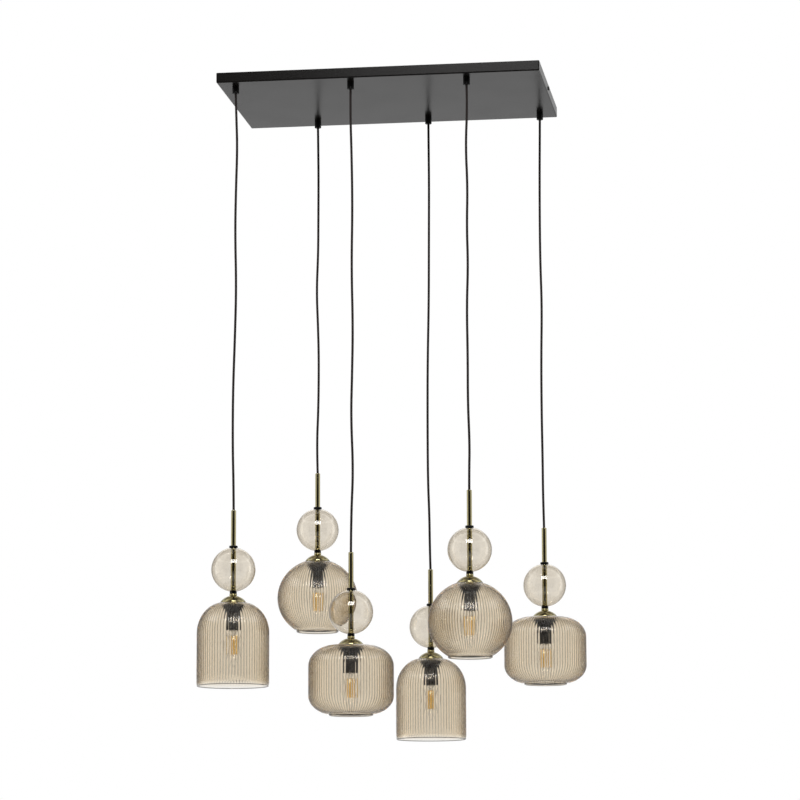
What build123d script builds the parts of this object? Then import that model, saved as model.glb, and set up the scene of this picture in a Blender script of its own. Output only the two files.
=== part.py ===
from build123d import *
import math
import os

# Cluster pendant: a rectangular ceiling canopy with six cords in two staggered rows. Each cord
# carries a brass stem, a glass ball and a fluted glass shade. Millimetres, +Z up, +X along the
# canopy, the viewer at -Y. The origin is the middle of the ceiling face, so all hangs below it.

# Canopy: one folded sheet tray, open towards the ceiling
canopy_length = 700.0
canopy_width = 415.0
canopy_height = 22.0
canopy_sheet = 1.5
canopy_fold_radius = 2.5
grip_hole_clearance = 0.25

# Mounting rail: a flat strip against the ceiling, its ends bent down behind the end walls
rail_width = 26.0
rail_sheet = 2.0
rail_tab_height = 17.0
rail_corner_radius = 5.2
rail_end_gap = 0.3
rail_slot_spacing = 480.0
rail_slot_length = 30.0
rail_slot_width = 5.5

# Side screws through the end walls into the rail's tabs
side_screw_drop = 8.5
side_screw_diameter = 4.0
side_screw_length = 9.0
side_screw_head_diameter = 8.6
side_screw_head_height = 2.4
side_screw_head_edge = 1.1
side_screw_slot_width = 1.2
side_screw_slot_depth = 1.1
screw_clearance = 0.1

# Terminal block under the rail
terminal_poles = 3
terminal_pole_pitch = 11.0
terminal_width = 16.0
terminal_height = 13.0
terminal_wire_hole = 4.2
terminal_screw_hole = 4.0
terminal_screw_depth = 4.0
terminal_edge_radius = 1.5
terminal_distance = 90.0

# Cord grips: a round body under the sheet, a threaded nipple and a lock nut above it
grip_diameter = 14.6
grip_height = 15.0
grip_chamfer = 1.2
grip_nipple_diameter = 10.0
grip_nipple_reach = 8.0
grip_nut_width = 14.0
grip_nut_thickness = 3.5
grip_bore_clearance = 0.45
cord_entry = 2.0

# Layout of the six pendants: where the outer ones stand from the canopy's edges, and how far
# each stem's top hangs below the ceiling
pendant_end_margin = 35.0
pendant_edge_margin = 42.5
stem_top_height_1 = 947.0
stem_top_height_2 = 826.0
stem_top_height_3 = 1041.0
stem_top_height_4 = 1045.0
stem_top_height_5 = 914.0
stem_top_height_6 = 958.0
shade_form = {1: "bell", 2: "round", 3: "drum", 4: "bell", 5: "round", 6: "drum"}

# Cords: points of each free stretch as (sideways X, sideways Y, drop below the grip)
cord_diameter = 5.2
cord_bend_share = 0.45
cord_routes = {
    1: [(1.5, 0.5, 50), (4, 1, 120), (1.5, 0, 215), (0.5, -1.5, 310), (3.5, -1, 425), (1, 0.5, 530),
        (-3, 1.5, 650), (-3, 0.5, 770), (-0.5, -0.5, 850)],
    2: [(0.8, -0.5, 50), (1.6, -1, 120), (1, 0.5, 210), (0.5, 1.5, 290), (-3, 1, 375),
        (0.5, -0.5, 455), (2.6, -1, 530), (1.5, 0.5, 640), (-2.2, 0.8, 725)],
    3: [(-0.6, 0.5, 55), (1.8, 1, 135), (4, 0, 260), (1.8, -1.5, 390), (4.8, -1, 520),
        (2.8, 0.5, 620), (0, 1.5, 715), (5, 0.5, 830), (0.6, -0.5, 925)],
    4: [(0.4, -0.5, 60), (1, -1.2, 140), (-0.2, 0.3, 275), (-1.2, 1.5, 410), (-4.4, 1, 545),
        (-5, -0.5, 690), (-4.6, -1.2, 810), (-1.8, -0.4, 890), (-1.4, 0.5, 955)],
    5: [(1, 0.5, 50), (-3, 1, 135), (0.8, 0, 225), (-1.4, -1.2, 310), (0.8, -0.8, 395),
        (-2.8, 0.6, 485), (-1.4, 1.4, 590), (-1.8, 0.5, 690), (1.6, -0.5, 780), (0.2, -0.4, 835)],
    6: [(-0.6, -0.4, 50), (-1.6, -1, 115), (-2.6, 0.2, 230), (-2.4, 1.4, 330), (0.2, 0.8, 425),
        (-2.4, -0.6, 545), (-2.6, -1.4, 665), (-1.6, 0.2, 770), (-1.6, 0.8, 850)],
}

# Brass stem: a tube with a turned-in lip at its top, threaded into the lampholder below
stem_diameter = 10.8
stem_wall = 1.2
stem_lip_length = 6.0
stem_lip_clearance = 0.2
stem_exposed = 75.5
stem_thread_engagement = 9.0
slip_gap = 0.1

# Glass ball with a washer above and below it
ball_diameter = 94.0
ball_wall = 1.8
ball_hole_diameter = 12.6
upper_washer_diameter = 18.0
upper_washer_thickness = 4.2
lower_washer_diameter = 15.0
lower_washer_thickness = 4.8
washer_spigot_length = 2.5
washer_edge = 0.6

# Brass cap: a rounded neck on a domed bell, spun from sheet
cap_neck_top_diameter = 15.0
cap_neck_diameter = 16.2
cap_neck_height = 4.5
cap_waist_diameter = 13.6
cap_dome_height = 14.0
cap_dome_radius = 27.6
cap_diameter = 54.0
cap_rim_height = 1.2
cap_sheet = 1.2

# Fluted glass shades, measured from the flat land at the top
shade_wall = 3.0
shade_land_diameter = 54.0
shade_hole_diameter = 30.0
flute_count = 60
flute_depth_share = 0.017
shoulder_steps = 5

bell_diameter = 153.2
bell_height = 177.0
bell_flat_radius = 19.0
bell_shoulder_height = 66.0
bell_rim_height = 3.0
bell_rim_inset = 0.3

round_diameter = 177.2
round_upper_half = 86.0
round_lower_half = 84.0

drum_diameter = 179.4
drum_height = 147.5
drum_flat_radius = 36.0
drum_upper_shoulder = 44.0
drum_lower_shoulder = 40.0

collar_diameter = 93.0
round_collar_height = 5.0
drum_collar_height = 3.2
collar_ledge = 1.5
collar_rim_radius = 0.8

# Clamp cone that presses the shade against the cap from inside
clamp_flange_diameter = 49.0
clamp_flange_thickness = 2.2
clamp_plate_thickness = 4.0
clamp_cone_height = 22.0
clamp_tip_diameter = 31.8
clamp_wall = 2.0
clamp_spigot_clearance = 0.3

# E14 lampholder
holder_reach = 58.0
holder_body_diameter = 30.8
holder_body_height = 13.0
holder_sleeve_diameter = 27.4
holder_mouth_diameter = 17.0
holder_mouth_depth = 5.0
holder_socket_depth = 25.0
holder_boss_depth = 11.0
thread_gap = 0.15

# Candle bulb with an E14 base
bulb_diameter = 35.0
bulb_length = 78.0
bulb_neck_diameter = 13.0
bulb_shoulder_diameter = 28.0
bulb_shoulder_drop = 10.9
bulb_belly_drop = 31.2
bulb_taper_diameter = 26.6
bulb_taper_drop = 51.5
bulb_nose_diameter = 11.9
bulb_nose_drop = 70.2
bulb_glass = 0.8
bulb_base_diameter = 13.9
bulb_base_length = 22.0
bulb_contact_diameter = 8.0
filament_length = 40.0
filament_drop = 12.0
filament_diameter = 1.8
filament_circle = 8.0
filament_count = 4
mount_diameter = 5.0
mount_wire = 0.9

# Heights and places that follow from the sizes above
stem_top_drop = {
    1: stem_top_height_1,
    2: stem_top_height_2,
    3: stem_top_height_3,
    4: stem_top_height_4,
    5: stem_top_height_5,
    6: stem_top_height_6,
}
pendant_pitch = (canopy_length - 2 * pendant_end_margin) / (len(stem_top_drop) - 1)
row_offset = canopy_width / 2 - pendant_edge_margin
canopy_floor = -canopy_height + canopy_sheet
grip_mouth = -canopy_height - grip_height
grip_bore_radius = cord_diameter / 2 + grip_bore_clearance
ball_radius = ball_diameter / 2
ball_hole_radius = ball_hole_diameter / 2
ball_half_chord = math.sqrt(ball_radius**2 - ball_hole_radius**2)
upper_washer_top = -stem_exposed
ball_centre = upper_washer_top - upper_washer_thickness - ball_half_chord
lower_washer_top = ball_centre - ball_half_chord
neck_top = lower_washer_top - lower_washer_thickness
shade_top = neck_top - cap_neck_height - cap_dome_height
clamp_top = shade_top - shade_wall
holder_top = clamp_top - clamp_plate_thickness
holder_step = shade_top - clamp_cone_height
holder_mouth = shade_top - holder_reach
stem_end = holder_top - stem_thread_engagement
stem_bore_radius = stem_diameter / 2 + slip_gap


def pendant_place(number):
    """Plumb line of a pendant: odd ones hang in the near row, even ones in the far row."""
    x = (number - (len(stem_top_drop) + 1) / 2) * pendant_pitch
    y = -row_offset if number % 2 else row_offset
    return x, y


def turned(*outline):
    """Solid of revolution about Z from a closed outline of (radius, height) points."""
    edge = Polyline(*[(radius, 0, height) for radius, height in outline], close=True)
    return revolve(make_face(edge), Axis.Z)


def ring(outer_radius, inner_radius, top, bottom):
    """Plain tube standing on Z."""
    return turned((inner_radius, bottom), (outer_radius, bottom), (outer_radius, top), (inner_radius, top))


# Canopy and what is fixed to it


def tray_block(inset, top):
    """Block with the folds' rounding, drawn in by inset on every side but the open top."""
    height = top + canopy_height - inset
    block = Box(
        canopy_length - 2 * inset,
        canopy_width - 2 * inset,
        height,
        align=(Align.CENTER, Align.CENTER, Align.MIN),
    )
    radius = canopy_fold_radius - inset
    block = fillet(block.edges().filter_by(Axis.Z), radius)
    block = fillet(block.faces().sort_by(Axis.Z)[0].edges(), radius)
    return Pos(0, 0, -canopy_height + inset) * block


def canopy():
    tray = tray_block(0.0, 0.0) - tray_block(canopy_sheet, canopy_sheet)
    hole_radius = grip_nipple_diameter / 2 + grip_hole_clearance
    for number in stem_top_drop:
        x, y = pendant_place(number)
        tray -= Pos(x, y, canopy_floor) * Cylinder(hole_radius, 4 * canopy_sheet)
    screw_hole = Cylinder(side_screw_diameter / 2 + grip_hole_clearance, canopy_length + canopy_sheet)
    tray -= Pos(0, 0, -side_screw_drop) * Rot(0, 90, 0) * screw_hole
    return tray


def mounting_rail():
    length = canopy_length - 2 * canopy_sheet - 2 * rail_end_gap
    strip = Pos(0, 0, -rail_sheet / 2) * Box(length, rail_width, rail_sheet)
    for side in (-1, 1):
        tab_x = side * (length - rail_sheet) / 2
        tab = Pos(tab_x, 0, -rail_tab_height / 2) * Box(rail_sheet, rail_width, rail_tab_height)
        strip += fillet(tab.faces().sort_by(Axis.Z)[0].edges().filter_by(Axis.X), rail_corner_radius)
        slot = Pos(side * rail_slot_spacing / 2, 0, 0) * SlotOverall(rail_slot_length, rail_slot_width)
        strip -= extrude(slot, rail_sheet, both=True)
    tapped = Cylinder(side_screw_diameter / 2 + screw_clearance, canopy_length)
    return strip - Pos(0, 0, -side_screw_drop) * Rot(0, 90, 0) * tapped


def side_screws():
    head = Cylinder(
        side_screw_head_diameter / 2, side_screw_head_height, align=(Align.CENTER, Align.CENTER, Align.MIN)
    )
    head = fillet(head.edges().sort_by(Axis.Z)[-1], side_screw_head_edge)
    slot_depth_centre = side_screw_head_height - side_screw_slot_depth / 2
    head -= Pos(0, 0, slot_depth_centre) * Box(
        side_screw_head_diameter, side_screw_slot_width, side_screw_slot_depth
    )
    shank = Cylinder(
        side_screw_diameter / 2, side_screw_length, align=(Align.CENTER, Align.CENTER, Align.MAX)
    )
    screw = head + shank
    right = Pos(canopy_length / 2, 0, -side_screw_drop) * Rot(0, 90, 0) * screw
    left = Pos(-canopy_length / 2, 0, -side_screw_drop) * Rot(0, -90, 0) * screw
    return [right, left]


def terminal_block():
    length = terminal_poles * terminal_pole_pitch
    top = -rail_sheet
    block = Pos(terminal_distance, 0, top - terminal_height / 2) * Box(length, terminal_width, terminal_height)
    block = fillet(block.edges().filter_by(Axis.Z), terminal_edge_radius)
    for pole in range(terminal_poles):
        x = terminal_distance + (pole - (terminal_poles - 1) / 2) * terminal_pole_pitch
        wire_way = Rot(90, 0, 0) * Cylinder(terminal_wire_hole / 2, 2 * terminal_width)
        block -= Pos(x, 0, top - terminal_height / 2) * wire_way
        for side in (-1, 1):
            well = Cylinder(terminal_screw_hole / 2, 2 * terminal_screw_depth)
            block -= Pos(x, side * terminal_width / 4, top - terminal_height) * well
    return block


def cord_grip():
    """Round body under the sheet with its nipple, on Z with the mouth where the cord leaves."""
    body = turned(
        (grip_bore_radius, grip_mouth),
        (grip_diameter / 2 - grip_chamfer, grip_mouth),
        (grip_diameter / 2, grip_mouth + grip_chamfer),
        (grip_diameter / 2, -canopy_height),
        (grip_nipple_diameter / 2, -canopy_height),
        (grip_nipple_diameter / 2, canopy_floor + grip_nipple_reach),
        (grip_bore_radius, canopy_floor + grip_nipple_reach),
    )
    return body


def grip_nut():
    hexagon = RegularPolygon(grip_nut_width / 2, 6, major_radius=False)
    nut = extrude(hexagon, grip_nut_thickness) - Cylinder(
        grip_nipple_diameter / 2 + slip_gap, 4 * grip_nut_thickness
    )
    return Pos(0, 0, canopy_floor) * nut


# Cord


def cord(number):
    """Tube on straight runs joined by tangent arcs, from inside the grip to the top of the stem."""
    x, y = pendant_place(number)
    free_length = stem_top_drop[number] + grip_mouth
    route = [(0, 0, -cord_entry), *cord_routes[number], (0, 0, free_length)]
    points = [Vector(x + dx, y + dy, grip_mouth - drop) for dx, dy, drop in route]
    radii = []
    for before, corner, after in zip(points, points[1:], points[2:]):
        run_in = corner - before
        run_out = after - corner
        half_turn = math.radians(run_in.get_angle(run_out)) / 2
        radii.append(cord_bend_share * min(run_in.length, run_out.length) / math.tan(half_turn))
    path = FilletPolyline(*points, radius=radii)
    section = Plane(origin=points[0], z_dir=points[1] - points[0]) * Circle(cord_diameter / 2)
    tube = sweep(section, path=path)
    print(f"cord {number}: length {path.length:.1f}, least radius {min(radii):.0f}, radii", end=" ")
    print([round(radius) for radius in radii], end=" ")
    print(f"volume / (section x length) {tube.volume / (section.area * path.length):.4f}")
    return tube


# Pendant pieces, each with the top of the stem at z = 0


def stem():
    outer = stem_diameter / 2
    inner = outer - stem_wall
    lip = cord_diameter / 2 + stem_lip_clearance
    return turned(
        (lip, 0), (outer, 0), (outer, stem_end), (inner, stem_end), (inner, -stem_lip_length),
        (lip, -stem_lip_length),
    )


def glass_ball():
    hole = Cylinder(ball_hole_radius, ball_diameter)
    return Pos(0, 0, ball_centre) * (Sphere(ball_radius) - Sphere(ball_radius - ball_wall) - hole)


def ball_washer(diameter, thickness):
    """Flange with a spigot that centres it in the ball's hole, the spigot pointing down from z = 0."""
    flange = ring(diameter / 2, stem_bore_radius, thickness, 0)
    flange = fillet(flange.edges().filter_by(GeomType.CIRCLE).group_by(SortBy.RADIUS)[-1], washer_edge)
    spigot = ring(ball_hole_radius - slip_gap, stem_bore_radius, 0, -washer_spigot_length)
    return flange + spigot


def ball_washers():
    upper = Pos(0, 0, upper_washer_top - upper_washer_thickness)
    lower = Pos(0, 0, lower_washer_top) * Rot(180, 0, 0)
    return [
        upper * ball_washer(upper_washer_diameter, upper_washer_thickness),
        lower * ball_washer(lower_washer_diameter, lower_washer_thickness),
    ]


def bulging_arc(start, end, radius):
    """Arc of a turned outline between two points, bulging away from the axis."""
    start, end = Vector(start), Vector(end)
    chord = end - start
    outwards = chord.normalized().cross(Vector(0, 1, 0))
    sagitta = radius - math.sqrt(radius**2 - (chord.length / 2) ** 2)
    return ThreePointArc(start, (start + end) / 2 + outwards * sagitta, end)


def cap_body(inset):
    """Cap outline drawn in by inset: a bulging neck, a waist, then a dome down to the rim."""
    neck_corner = (cap_neck_top_diameter / 2 - inset, 0, neck_top - inset)
    neck_bulge = (cap_neck_diameter / 2 - inset, 0, neck_top - cap_neck_height / 2)
    waist = (cap_waist_diameter / 2 - inset, 0, shade_top + cap_dome_height - inset)
    rim_top = (cap_diameter / 2 - inset, 0, shade_top + cap_rim_height)
    rim = (cap_diameter / 2 - inset, 0, shade_top)
    outline = [
        Line((0, 0, neck_top - inset), neck_corner),
        ThreePointArc(neck_corner, neck_bulge, waist),
        bulging_arc(waist, rim_top, cap_dome_radius - inset),
        Line(rim_top, rim),
        Line(rim, (0, 0, shade_top)),
        Line((0, 0, shade_top), (0, 0, neck_top - inset)),
    ]
    return revolve(make_face(outline), Axis.Z)


def cap():
    return cap_body(0.0) - cap_body(cap_sheet) - Pos(0, 0, shade_top) * Cylinder(stem_bore_radius, cap_diameter)


# Fluted shades, each with its top land at z = 0


def flute_section(radius, height):
    """Star-shaped ring: crests at the given radius, valleys drawn in by the flute depth."""
    points = []
    for step in range(2 * flute_count):
        reach = radius if step % 2 == 0 else radius * (1 - flute_depth_share)
        angle = math.pi * step / flute_count
        points.append((reach * math.cos(angle), reach * math.sin(angle), height))
    return Wire.make_polygon(points, close=True)


def valley(radius):
    return radius * (1 - flute_depth_share)


def shoulder_rings(flat_radius, reach, rise, first, last):
    """Rings (radius, height) on an elliptical shoulder between two angles in degrees."""
    rings = []
    for step in range(shoulder_steps + 1):
        angle = math.radians(first + (last - first) * step / shoulder_steps)
        rings.append((flat_radius + reach * math.cos(angle), rise * math.sin(angle)))
    return rings


def shoulder_angle(radius, flat_radius, reach):
    """Angle on the elliptical shoulder at which it has the given radius, upright on its flat."""
    return math.degrees(math.acos(max(radius - flat_radius, 0.0) / reach))


def fluted_shade(rings, inner_rings, collar_radius, collar_drop):
    """Flutes lofted through star sections, a plain collar below, hollowed to the wall."""
    sections = [flute_section(radius, height) for radius, height in rings]
    body = Solid.make_loft(sections, ruled=True)
    bottom = rings[-1][1]
    collar = Pos(0, 0, bottom + shade_wall / 2 - (collar_drop + shade_wall / 2) / 2) * Cylinder(
        collar_radius, collar_drop + shade_wall / 2
    )
    collar = fillet(collar.edges().sort_by(Axis.Z)[0], collar_rim_radius)
    mouth = min(collar_radius, valley(rings[-1][0])) - shade_wall
    outline = [
        (0, -shade_wall),
        *inner_rings,
        (mouth, bottom),
        (mouth, bottom - collar_drop - shade_wall),
        (0, bottom - collar_drop - shade_wall),
    ]
    hole = Cylinder(shade_hole_diameter / 2, 4 * shade_wall)
    return Part() + body + collar - turned(*outline) - hole


def inner_dome(flat_radius, reach, rise, centre, lowest_angle):
    """Points of the smooth hollow under a shoulder, from the underside of the land downwards."""
    inner_reach = reach * (1 - flute_depth_share) - shade_wall
    inner_rise = rise - shade_wall
    start = math.degrees(math.asin(min(1.0, (-shade_wall - centre) / inner_rise)))
    points = []
    for step in range(2 * shoulder_steps + 1):
        angle = math.radians(start + (lowest_angle - start) * step / (2 * shoulder_steps))
        points.append((flat_radius + inner_reach * math.cos(angle), centre + inner_rise * math.sin(angle)))
    return points


def bell_shade():
    radius = bell_diameter / 2
    reach = radius - bell_flat_radius
    top_angle = shoulder_angle(shade_land_diameter / 2, bell_flat_radius, reach)
    centre = -bell_shoulder_height * math.sin(math.radians(top_angle))
    rings = [
        (ring_radius, centre + rise)
        for ring_radius, rise in shoulder_rings(bell_flat_radius, reach, bell_shoulder_height, top_angle, 0)
    ]
    rings.append((radius, -bell_height + bell_rim_height))
    hollow = inner_dome(bell_flat_radius, reach, bell_shoulder_height, centre, 0)
    return fluted_shade(rings, hollow, radius - bell_rim_inset, bell_rim_height)


def round_shade():
    radius = round_diameter / 2
    top_angle = shoulder_angle(shade_land_diameter / 2, 0, radius)
    centre = -round_upper_half * math.sin(math.radians(top_angle))
    ledge = collar_diameter / 2 + collar_ledge
    bottom_angle = -shoulder_angle(ledge, 0, radius)
    rings = [
        (ring_radius, centre + rise)
        for ring_radius, rise in shoulder_rings(0, radius, round_upper_half, top_angle, 0)
    ]
    rings += [
        (ring_radius, centre + rise)
        for ring_radius, rise in shoulder_rings(0, radius, round_lower_half, 0, bottom_angle)[1:]
    ]
    hollow = inner_dome(0, radius, round_upper_half, centre, 0)
    hollow += inner_bowl(0, radius, round_lower_half, centre)
    return fluted_shade(rings, hollow, collar_diameter / 2, round_collar_height)


def inner_bowl(flat_radius, reach, rise, centre):
    """Points of the smooth hollow over a lower shoulder, down to the collar's mouth."""
    inner_reach = reach * (1 - flute_depth_share) - shade_wall
    inner_rise = rise - shade_wall
    mouth = collar_diameter / 2 - shade_wall
    last = shoulder_angle(mouth, flat_radius, inner_reach)
    points = []
    for step in range(1, 2 * shoulder_steps + 1):
        angle = -math.radians(last * step / (2 * shoulder_steps))
        points.append((flat_radius + inner_reach * math.cos(angle), centre + inner_rise * math.sin(angle)))
    return points


def drum_shade():
    radius = drum_diameter / 2
    reach = radius - drum_flat_radius
    top_angle = shoulder_angle(shade_land_diameter / 2, drum_flat_radius, reach)
    upper_centre = -drum_upper_shoulder * math.sin(math.radians(top_angle))
    ledge = collar_diameter / 2 + collar_ledge
    bottom_angle = -shoulder_angle(ledge, drum_flat_radius, reach)
    lower_drop = -drum_lower_shoulder * math.sin(math.radians(bottom_angle))
    lower_centre = -drum_height + drum_collar_height + lower_drop
    rings = [
        (ring_radius, upper_centre + rise)
        for ring_radius, rise in shoulder_rings(drum_flat_radius, reach, drum_upper_shoulder, top_angle, 0)
    ]
    rings += [
        (ring_radius, lower_centre + rise)
        for ring_radius, rise in shoulder_rings(drum_flat_radius, reach, drum_lower_shoulder, 0, bottom_angle)
    ]
    hollow = inner_dome(drum_flat_radius, reach, drum_upper_shoulder, upper_centre, 0)
    hollow.append((hollow[-1][0], lower_centre))
    hollow += inner_bowl(drum_flat_radius, reach, drum_lower_shoulder, lower_centre)
    return fluted_shade(rings, hollow, collar_diameter / 2, drum_collar_height)


# Lampholder and bulb


def shade_clamp():
    spigot = shade_hole_diameter / 2 - clamp_spigot_clearance
    flange = clamp_flange_diameter / 2
    tip = clamp_tip_diameter / 2
    return turned(
        (stem_bore_radius, shade_top),
        (spigot, shade_top),
        (spigot, clamp_top),
        (flange, clamp_top),
        (flange, clamp_top - clamp_flange_thickness),
        (tip, holder_step),
        (tip - clamp_wall, holder_step),
        (tip - clamp_wall, holder_step + clamp_wall),
        (flange - clamp_wall, holder_top),
        (stem_bore_radius, holder_top),
    )


def lamp_holder():
    neck = clamp_tip_diameter / 2 - clamp_wall - slip_gap
    socket = bulb_base_diameter / 2 + thread_gap
    body_bottom = holder_step - holder_body_height
    return turned(
        (stem_bore_radius, holder_top),
        (neck, holder_top),
        (neck, holder_step),
        (holder_body_diameter / 2, holder_step),
        (holder_body_diameter / 2, body_bottom),
        (holder_sleeve_diameter / 2, body_bottom),
        (holder_sleeve_diameter / 2, holder_mouth),
        (holder_mouth_diameter / 2, holder_mouth),
        (holder_mouth_diameter / 2, holder_mouth + holder_mouth_depth),
        (socket, holder_mouth + holder_mouth_depth),
        (socket, holder_mouth + holder_socket_depth),
        (0, holder_mouth + holder_socket_depth),
        (0, holder_top - holder_boss_depth),
        (stem_bore_radius, holder_top - holder_boss_depth),
    )


def bulb_profile(inset):
    """Candle-shaped body drawn in by inset, its neck at the holder's mouth."""
    neck = bulb_neck_diameter / 2 - inset
    tip = holder_mouth - bulb_length + inset
    outline = Spline(
        (neck, 0, holder_mouth),
        (bulb_shoulder_diameter / 2 - inset, 0, holder_mouth - bulb_shoulder_drop),
        (bulb_diameter / 2 - inset, 0, holder_mouth - bulb_belly_drop),
        (bulb_taper_diameter / 2 - inset, 0, holder_mouth - bulb_taper_drop),
        (bulb_nose_diameter / 2 - inset, 0, holder_mouth - bulb_nose_drop),
        (0, 0, tip),
        tangents=[(0.5, 0, -1), (-1, 0, -0.12)],
    )
    axis = Line((0, 0, tip), (0, 0, holder_mouth))
    top = Line((0, 0, holder_mouth), (neck, 0, holder_mouth))
    return revolve(make_face([outline, axis, top]), Axis.Z)


def bulb():
    """Glass envelope, screw base and filament mount as three solids of one lamp."""
    envelope = bulb_profile(0.0) - bulb_profile(bulb_glass)
    base_top = holder_mouth + bulb_base_length
    contact = bulb_contact_diameter / 2
    base_radius = bulb_base_diameter / 2
    base = turned(
        (0, holder_mouth),
        (base_radius, holder_mouth),
        (base_radius, base_top - contact),
        (contact, base_top),
        (0, base_top),
    )
    filament_top = holder_mouth - filament_drop
    filament_bottom = filament_top - filament_length
    mount = turned(
        (0, holder_mouth),
        (mount_diameter / 2, holder_mouth),
        (mount_diameter / 4, filament_top),
        (0, filament_top),
    )
    wire_length = filament_length + filament_drop / 2
    mount += Pos(0, 0, filament_top + filament_drop / 2 - wire_length / 2) * Cylinder(mount_wire, wire_length)
    for height in (filament_top, filament_bottom):
        disc_radius = filament_circle / 2 + filament_diameter
        mount += Pos(0, 0, height) * Cylinder(disc_radius, mount_wire)
    stick = Cylinder(filament_diameter / 2, filament_length)
    for step in range(filament_count):
        turn = Rot(0, 0, 360 * step / filament_count)
        mount += turn * Pos(filament_circle / 2, 0, (filament_top + filament_bottom) / 2) * stick
    return [envelope, base, mount]


def save(name, shape):
    """One STEP file for one node; a list of solids becomes a group."""
    if isinstance(shape, list):
        shape = Compound(children=shape)
    export_step(shape, f"parts/{name}.step")


os.makedirs("parts", exist_ok=True)
places = {number: pendant_place(number) for number in stem_top_drop}

save("canopy", canopy())
save("mounting_rail", mounting_rail())
save("side_screws", side_screws())
save("terminal_block", terminal_block())
save("cord_grips", [Pos(x, y, 0) * cord_grip() for x, y in places.values()])
save("grip_nuts", [Pos(x, y, 0) * grip_nut() for x, y in places.values()])

shades = {"bell": bell_shade(), "round": round_shade(), "drum": drum_shade()}
for number, (x, y) in places.items():
    place = Pos(x, y, -stem_top_drop[number])
    form = shade_form[number]
    save(f"cord_{number}", cord(number))
    save(f"stem_{number}", place * stem())
    save(f"glass_ball_{number}", place * glass_ball())
    save(f"ball_washers_{number}", [place * washer for washer in ball_washers()])
    save(f"cap_{number}", place * cap())
    save(f"{form}_shade_{number}", place * Pos(0, 0, shade_top) * shades[form])
    save(f"shade_clamp_{number}", place * shade_clamp())
    save(f"lamp_holder_{number}", place * lamp_holder())
    save(f"bulb_{number}", [place * piece for piece in bulb()])
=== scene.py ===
import math

import bmesh
import bpy
import numpy as np
from mathutils import Matrix, Vector


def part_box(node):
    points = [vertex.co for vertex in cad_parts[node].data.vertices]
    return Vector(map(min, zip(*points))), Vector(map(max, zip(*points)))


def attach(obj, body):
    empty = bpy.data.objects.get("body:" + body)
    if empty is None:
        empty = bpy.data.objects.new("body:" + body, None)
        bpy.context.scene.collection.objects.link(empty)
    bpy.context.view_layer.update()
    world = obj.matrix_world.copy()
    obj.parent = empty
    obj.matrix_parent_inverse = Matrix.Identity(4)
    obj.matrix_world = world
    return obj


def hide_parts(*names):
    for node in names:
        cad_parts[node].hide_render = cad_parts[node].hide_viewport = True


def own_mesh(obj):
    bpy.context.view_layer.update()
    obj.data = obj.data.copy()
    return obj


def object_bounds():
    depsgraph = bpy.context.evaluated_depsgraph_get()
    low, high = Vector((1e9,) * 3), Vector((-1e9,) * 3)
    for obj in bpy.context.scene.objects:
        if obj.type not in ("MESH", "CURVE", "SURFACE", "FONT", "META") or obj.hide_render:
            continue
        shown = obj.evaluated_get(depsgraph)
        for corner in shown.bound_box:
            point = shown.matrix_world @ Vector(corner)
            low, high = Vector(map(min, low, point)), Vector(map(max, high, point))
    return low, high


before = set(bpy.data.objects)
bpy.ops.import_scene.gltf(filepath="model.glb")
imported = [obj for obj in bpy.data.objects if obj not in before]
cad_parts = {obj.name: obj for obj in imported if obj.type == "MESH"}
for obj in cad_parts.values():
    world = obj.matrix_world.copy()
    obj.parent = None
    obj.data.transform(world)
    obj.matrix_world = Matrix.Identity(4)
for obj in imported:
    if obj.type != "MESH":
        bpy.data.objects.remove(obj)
cad_low, cad_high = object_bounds()

# The view of the lamp: a long lens in front of it and a little to its right, just above the lowest
# shade's rim and tilted up, so that the canopy shows its front and its underside.
mm = 0.001
lens_length = 145.35
sensor_width = 36.0
camera_place = (0.97858, -6.86099, -1.80382)
camera_turn = 7.958
camera_tilt = 9.120
camera_roll = -0.188

scene = bpy.context.scene
camera = bpy.data.objects.new("camera", bpy.data.cameras.new("camera"))
camera.data.lens = lens_length
camera.data.sensor_width = sensor_width
camera.matrix_world = (
    Matrix.Translation(camera_place)
    @ Matrix.Rotation(math.radians(camera_turn), 4, "Z")
    @ Matrix.Rotation(math.radians(90 + camera_tilt), 4, "X")
    @ Matrix.Rotation(math.radians(camera_roll), 4, "Z")
)
scene.collection.objects.link(camera)
scene.camera = camera
scene.view_settings.view_transform = "Standard"

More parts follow.
